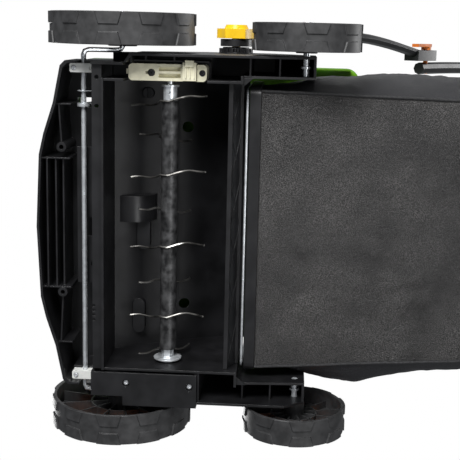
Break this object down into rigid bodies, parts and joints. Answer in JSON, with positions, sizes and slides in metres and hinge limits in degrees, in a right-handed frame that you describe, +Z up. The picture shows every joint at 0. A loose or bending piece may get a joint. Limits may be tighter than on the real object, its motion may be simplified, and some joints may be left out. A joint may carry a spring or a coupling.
{
  "type": "electric lawn raker",
  "caption": "Wheeled electric lawn raker with a wire-tine rotor under a ribbed deck, cranked depth axle, rear collecting bag, hinged lid and folding handle.",
  "frame": {"origin": "on the ground, under the centre of the whole machine's bounding box, with the machine standing on its four wheels", "axes": "+X towards the machine's left, +Y towards the rear, where the handle and the bag are, and +Z up"},
  "size_m": [0.524, 0.928, 0.9959],
  "materials": {
    "black_plastic": "fine-textured black polypropylene",
    "lime_plastic": "glossy lime green moulding",
    "wheel_plastic": "hard charcoal plastic, slightly textured",
    "orange_plastic": "satin orange plastic",
    "yellow_plastic": "satin yellow plastic",
    "cream_plastic": "natural nylon",
    "white_plastic": "white nylon",
    "zinc": "bright zinc plating",
    "motor_case": "grey lacquered steel",
    "rotor_steel": "mottled phosphated steel tube",
    "tine_steel": "spring wire, bright at the tips",
    "painted_tube": "satin black powder coat",
    "rubber": "soft black rubber",
    "bag_fabric": "speckled dark grey coated weave"
  },
  "bodies": {
    "deck": {"deck_shell": "black_plastic", "rear_lattice": "black_plastic", "front_nose": "black_plastic", "hood": "lime_plastic", "vent_grille": "black_plastic", "belt_cover": "black_plastic", "motor": "motor_case", "drive_belt": "rubber", "bearing_block": "cream_plastic", "axle_clamp_left": "white_plastic", "axle_clamp_right": "white_plastic", "axle_spring": "zinc", "rear_axle_left": "zinc", "rear_axle_right": "zinc", "lid_pin": "zinc"},
    "rotor": {"rotor_tube": "rotor_steel", "rotor_ferrule": "zinc", "rotor_drive_end": "zinc", "rotor_pulley": "black_plastic", "tine_1": "tine_steel", "tine_2": "tine_steel", "tine_3": "tine_steel", "tine_4": "tine_steel", "tine_5": "tine_steel", "tine_6": "tine_steel", "tine_7": "tine_steel", "tine_8": "tine_steel"},
    "motor_drive": {"motor_pulley": "zinc"},
    "bearing_slide": {"bearing_latch": "cream_plastic"},
    "crank_axle": {"front_axle": "zinc", "depth_lever": "zinc", "depth_knob": "black_plastic"},
    "lower_handle": {"lower_tube_left": "painted_tube", "lower_tube_right": "painted_tube", "fold_clamp_left": "black_plastic", "fold_clamp_right": "black_plastic"},
    "upper_handle": {"upper_handle": "painted_tube", "handle_grip": "rubber", "switch_box": "black_plastic", "bail_bracket": "black_plastic"},
    "bail": {"switch_bail": "orange_plastic"},
    "button": {"safety_button": "orange_plastic"},
    "lid": {"rear_lid": "lime_plastic"},
    "bag": {"bag_wire": "zinc", "bag_collar": "black_plastic", "bag_body": "bag_fabric", "bag_handle": "black_plastic"},
    "front_wheel_left": {"front_wheel_left": "wheel_plastic", "front_hubcap_left": "orange_plastic"},
    "rear_wheel_left": {"rear_wheel_left": "wheel_plastic", "rear_hubcap_left": "orange_plastic"},
    "handle_knob_left": {"handle_knob_left": "yellow_plastic"},
    "fold_lever_left": {"fold_lever_left": "orange_plastic"},
    "front_wheel_right": {"front_wheel_right": "wheel_plastic", "front_hubcap_right": "orange_plastic"},
    "rear_wheel_right": {"rear_wheel_right": "wheel_plastic", "rear_hubcap_right": "orange_plastic"},
    "handle_knob_right": {"handle_knob_right": "yellow_plastic"},
    "fold_lever_right": {"fold_lever_right": "orange_plastic"}
  },
  "joints": [
    {"name": "rotor_spin", "type": "hinge", "parent": "deck", "child": "rotor", "pos_m": [0, -0.30103, 0.068], "axis": [1, 0, 0], "continuous": true},
    {"name": "motor_spin", "type": "hinge", "parent": "deck", "child": "motor_drive", "pos_m": [-0.183, -0.34903, 0.173], "axis": [1, 0, 0], "continuous": true},
    {"name": "bearing_latch_slide", "type": "slide", "parent": "deck", "child": "bearing_slide", "axis": [-1, 0, 0], "range_m": [0, 0.006]},
    {"name": "depth_crank", "type": "hinge", "parent": "deck", "child": "crank_axle", "pos_m": [0, -0.40803, 0.072], "axis": [1, 0, 0], "range_deg": [0, 20]},
    {"name": "handle_tilt", "type": "hinge", "parent": "deck", "child": "lower_handle", "pos_m": [0, -0.22703, 0.15], "axis": [1, 0, 0], "range_deg": [-12, 40]},
    {"name": "handle_fold", "type": "hinge", "parent": "lower_handle", "child": "upper_handle", "pos_m": [0, 0.06233, 0.52037], "axis": [1, 0, 0], "range_deg": [0, 150]},
    {"name": "bail_squeeze", "type": "hinge", "parent": "upper_handle", "child": "bail", "pos_m": [0, 0.34888, 0.87008], "axis": [1, 0, 0], "range_deg": [0, 11], "stiffness_Nm_per_rad": 1.5, "springref_deg": -17.19},
    {"name": "button_press", "type": "slide", "parent": "upper_handle", "child": "button", "axis": [0, 0.788, -0.6157], "range_m": [0, 0.004], "stiffness_N_per_m": 400, "springref_m": -0.001},
    {"name": "lid_open", "type": "hinge", "parent": "deck", "child": "lid", "pos_m": [0, -0.21503, 0.209], "axis": [1, 0, 0], "range_deg": [0, 75]},
    {"name": "bag_pull", "type": "slide", "parent": "deck", "child": "bag", "axis": [0, 1, 0], "range_m": [0, 0.12]},
    {"name": "front_wheel_left_spin", "type": "hinge", "parent": "crank_axle", "child": "front_wheel_left", "pos_m": [0.243, -0.36303, 0.09], "axis": [1, 0, 0], "continuous": true},
    {"name": "rear_wheel_left_spin", "type": "hinge", "parent": "deck", "child": "rear_wheel_left", "pos_m": [0.2375, -0.13803, 0.0655], "axis": [1, 0, 0], "continuous": true},
    {"name": "handle_knob_left_turn", "type": "hinge", "parent": "deck", "child": "handle_knob_left", "pos_m": [0.24, -0.22703, 0.15], "axis": [1, 0, 0], "range_deg": [0, 360]},
    {"name": "fold_lever_left_turn", "type": "hinge", "parent": "lower_handle", "child": "fold_lever_left", "pos_m": [0.222, 0.06233, 0.52037], "axis": [1, 0, 0], "range_deg": [0, 90]},
    {"name": "front_wheel_right_spin", "type": "hinge", "parent": "crank_axle", "child": "front_wheel_right", "pos_m": [-0.243, -0.36303, 0.09], "axis": [1, 0, 0], "continuous": true},
    {"name": "rear_wheel_right_spin", "type": "hinge", "parent": "deck", "child": "rear_wheel_right", "pos_m": [-0.2375, -0.13803, 0.0655], "axis": [1, 0, 0], "continuous": true},
    {"name": "handle_knob_right_turn", "type": "hinge", "parent": "deck", "child": "handle_knob_right", "pos_m": [-0.24, -0.22703, 0.15], "axis": [1, 0, 0], "range_deg": [0, 360]},
    {"name": "fold_lever_right_turn", "type": "hinge", "parent": "lower_handle", "child": "fold_lever_right", "pos_m": [-0.222, 0.06233, 0.52037], "axis": [1, 0, 0], "range_deg": [0, 90]}
  ],
  "couplings": [
    {"joint": "motor_spin", "follows": "rotor_spin", "ratio": 1.9155}
  ]
}
